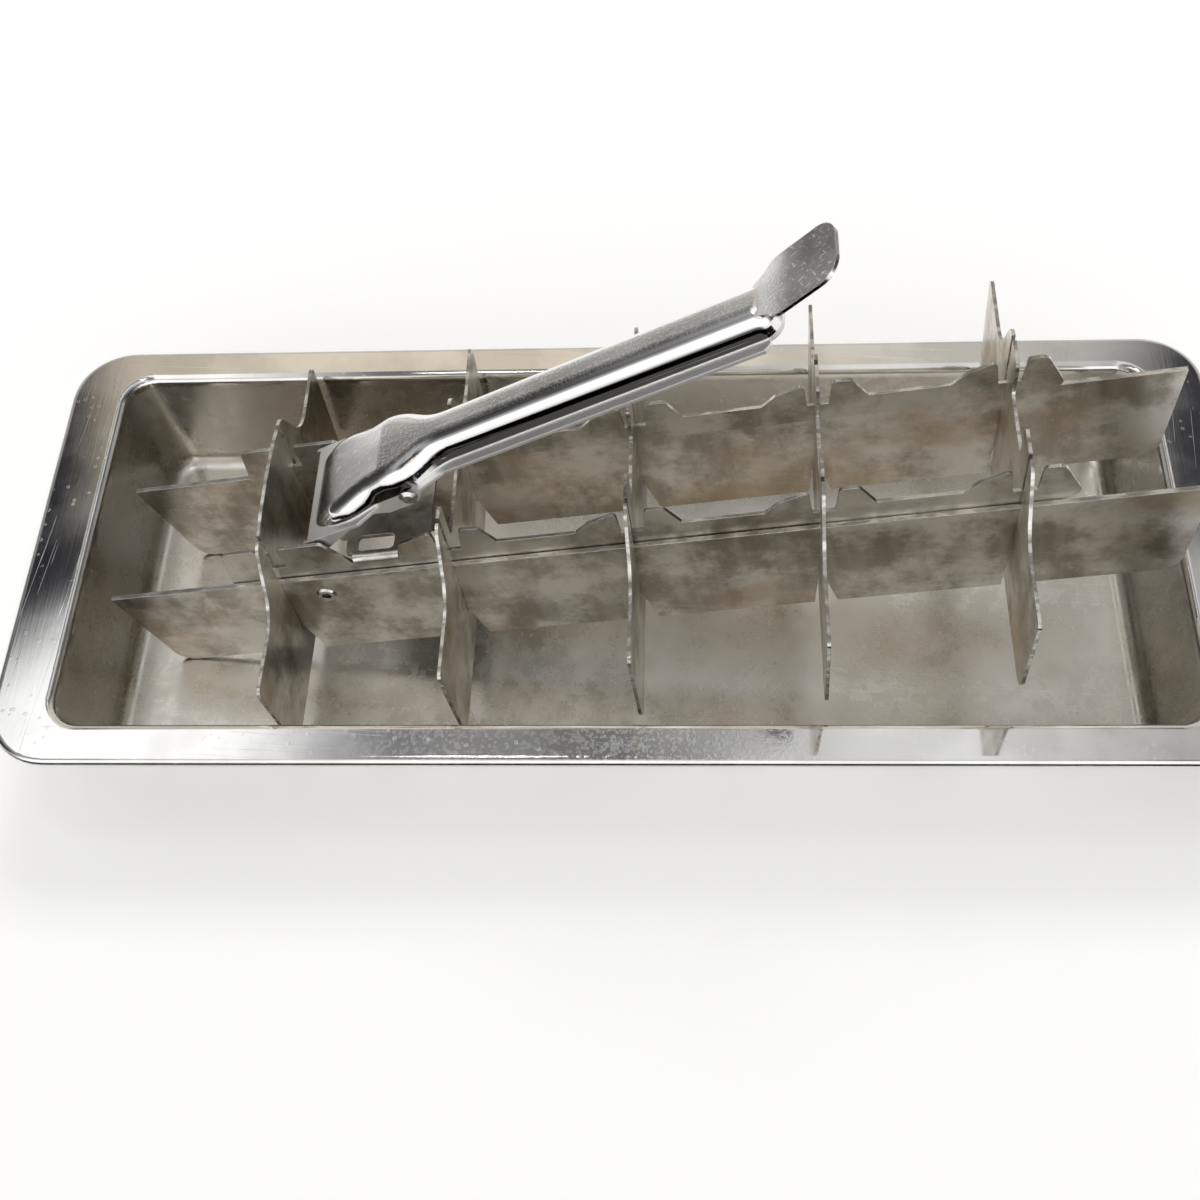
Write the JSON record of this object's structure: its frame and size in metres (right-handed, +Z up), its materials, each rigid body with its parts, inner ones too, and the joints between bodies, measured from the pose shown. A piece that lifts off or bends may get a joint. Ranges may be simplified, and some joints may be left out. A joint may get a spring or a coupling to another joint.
{
  "type": "lever ice cube tray",
  "caption": "Sheet steel ice tray with a lift-out grid of long dividers and cross walls; a lever hinged on the grid slides a notched frame that tips the walls to free the cubes.",
  "frame": {"origin": "middle of the pan's underside, on the surface it stands on", "axes": "+Z up, +X along the pan towards the lever's thumb tongue, +Y towards the back"},
  "size_m": [0.2834, 0.118, 0.1244],
  "materials": {
    "pan_steel": "satin",
    "grid_steel": "satin",
    "lever_steel": "polished",
    "rivet_steel": "polished"
  },
  "bodies": {
    "pan": {"tray_pan": "pan_steel"},
    "grid": {"front_long_divider": "grid_steel", "back_long_divider": "grid_steel", "front_eyelet": "rivet_steel", "back_eyelet": "rivet_steel"},
    "slide": {"slide_frame": "grid_steel"},
    "lever": {"lever_handle": "lever_steel", "shoulder_pin": "rivet_steel"},
    "wall_1": {"cross_wall_1": "grid_steel"},
    "wall_2": {"cross_wall_2": "grid_steel"},
    "wall_3": {"cross_wall_3": "grid_steel"},
    "wall_4": {"cross_wall_4": "grid_steel"},
    "wall_5": {"cross_wall_5": "grid_steel"}
  },
  "joints": [
    {"name": "grid_lift", "type": "hinge", "parent": "pan", "child": "grid", "pos_m": [-0.11086, 0, 0.04809], "axis": [0, -1, 0], "range_deg": [-9.48, 20]},
    {"name": "lever_turn", "type": "hinge", "parent": "grid", "child": "lever", "pos_m": [-0.068, 0, 0.03077], "axis": [0, -1, 0], "range_deg": [-19.65, 45]},
    {"name": "wall_1_tilt", "type": "hinge", "parent": "grid", "child": "wall_1", "pos_m": [-0.07717, 0, 0.01707], "axis": [0, -1, 0], "range_deg": [-3.98, 9.05]},
    {"name": "wall_2_tilt", "type": "hinge", "parent": "grid", "child": "wall_2", "pos_m": [-0.03634, 0, 0.02389], "axis": [0, -1, 0], "range_deg": [-3.98, 9.05]},
    {"name": "wall_3_tilt", "type": "hinge", "parent": "grid", "child": "wall_3", "pos_m": [0.0045, 0, 0.0307], "axis": [0, -1, 0], "range_deg": [-3.98, 9.05]},
    {"name": "wall_4_tilt", "type": "hinge", "parent": "grid", "child": "wall_4", "pos_m": [0.04533, 0, 0.03752], "axis": [0, -1, 0], "range_deg": [-3.98, 9.05]},
    {"name": "wall_5_tilt", "type": "hinge", "parent": "grid", "child": "wall_5", "pos_m": [0.08617, 0, 0.04434], "axis": [0, -1, 0], "range_deg": [-3.98, 9.05]},
    {"name": "slide_travel", "type": "slide", "parent": "grid", "child": "slide", "axis": [-0.9864, 0, -0.1646], "range_m": [-0.00184, 0.00418]}
  ],
  "couplings": [
    {"joint": "wall_1_tilt", "follows": "lever_turn", "ratio": 0.2},
    {"joint": "wall_2_tilt", "follows": "lever_turn", "ratio": 0.2},
    {"joint": "wall_3_tilt", "follows": "lever_turn", "ratio": 0.2},
    {"joint": "wall_4_tilt", "follows": "lever_turn", "ratio": 0.2},
    {"joint": "wall_5_tilt", "follows": "lever_turn", "ratio": 0.2},
    {"joint": "slide_travel", "follows": "lever_turn", "m_per_rad": 0.0053}
  ]
}
